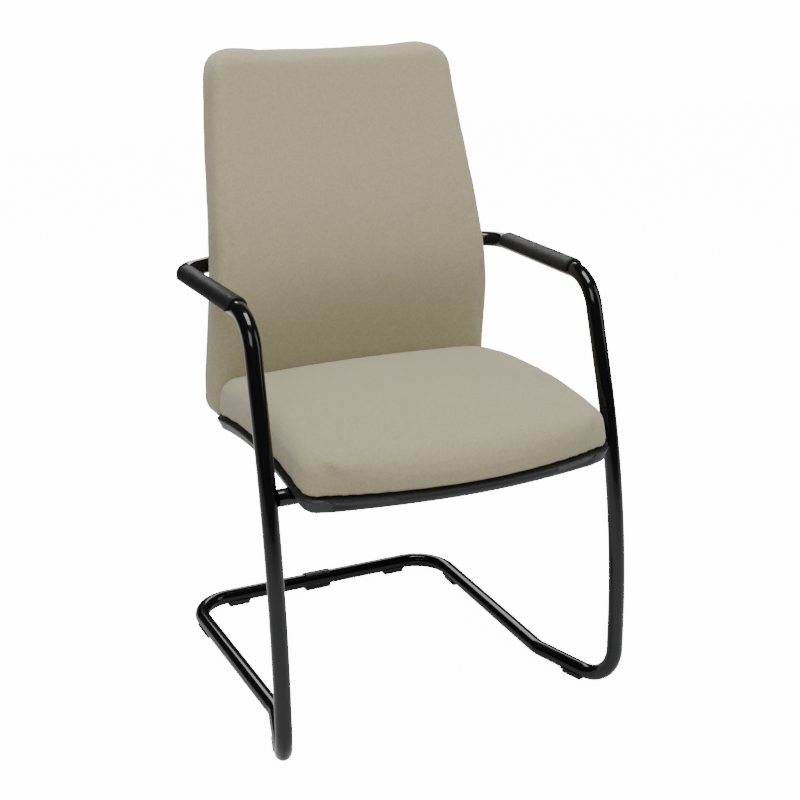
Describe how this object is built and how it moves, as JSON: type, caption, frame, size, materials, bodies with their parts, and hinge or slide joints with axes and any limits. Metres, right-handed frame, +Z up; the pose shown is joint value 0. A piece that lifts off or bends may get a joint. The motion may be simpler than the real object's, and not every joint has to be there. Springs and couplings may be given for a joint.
{
  "type": "sled base visitor chair",
  "caption": "Visitor chair with a bent tube sled frame, upholstered seat and curved back, and covered arms.",
  "frame": {"origin": "on the floor, at the middle of the plan", "axes": "+Z up, the sitter faces -Y, +X to the sitter's left"},
  "size_m": [0.5878, 0.6315, 0.9825],
  "materials": {
    "frame_paint": "gloss black powder coat",
    "bare_steel": "zinc plated",
    "glide_plastic": "moulded black",
    "arm_cover": "soft-touch black",
    "shell_plastic": "fine texture",
    "plywood": "raw birch ply",
    "cloth": "fine woven taupe cloth over foam"
  },
  "bodies": {
    "root": {"frame_tube_left": "frame_paint", "frame_tube_right": "frame_paint", "seat_bar": "frame_paint", "seat_saddle_left": "frame_paint", "seat_saddle_right": "frame_paint", "link_bar_left": "frame_paint", "link_bar_right": "frame_paint", "back_plate": "frame_paint", "base_sleeve": "bare_steel", "back_sleeve": "bare_steel", "back_bolts": "bare_steel", "back_tee_nuts": "bare_steel", "seat_bolts": "bare_steel", "seat_tee_nuts": "bare_steel", "link_bolts": "bare_steel", "link_tee_nuts": "bare_steel", "shell_screws": "bare_steel", "base_clip": "glide_plastic", "arm_cover_left": "arm_cover", "arm_cover_right": "arm_cover", "seat_shell": "shell_plastic", "seat_board": "plywood", "back_board": "plywood", "seat_cushion": "cloth", "back_cushion": "cloth", "back_rear_cover": "cloth", "rear_glide_left": "glide_plastic", "rear_glide_right": "glide_plastic", "runner_glide_left": "glide_plastic", "runner_glide_right": "glide_plastic", "front_glide_left": "glide_plastic", "front_glide_right": "glide_plastic"}
  },
  "joints": []
}
